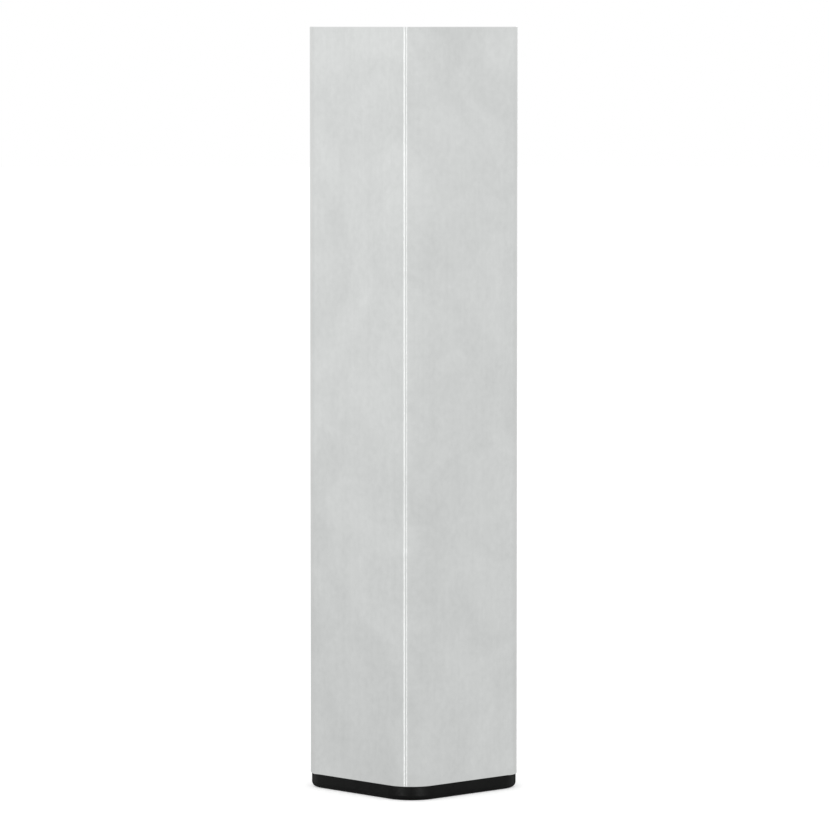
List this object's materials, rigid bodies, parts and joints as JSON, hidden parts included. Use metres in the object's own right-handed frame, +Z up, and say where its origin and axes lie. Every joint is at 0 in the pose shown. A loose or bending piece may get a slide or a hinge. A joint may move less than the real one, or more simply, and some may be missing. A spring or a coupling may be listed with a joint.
{
  "type": "furniture foot",
  "caption": "Square furniture foot: satin aluminium tube with rounded corners on a black push-in foot cap, closed above by a ribbed insert with a captive M8 nut.",
  "frame": {"origin": "centre of the foot cap's sole, on the floor", "axes": "+Z up along the leg; X and Y square to its faces"},
  "size_m": [0.043, 0.043, 0.2],
  "materials": {
    "satin_aluminium": "satin anodised, fine grain along the extrusion",
    "black_plastic": "moulded, fine matte grain",
    "zinc_plated_steel": "bright zinc plate"
  },
  "bodies": {
    "root": {"leg_tube": "satin_aluminium", "foot_cap": "black_plastic", "top_insert": "black_plastic", "captive_nut": "zinc_plated_steel"}
  },
  "joints": []
}
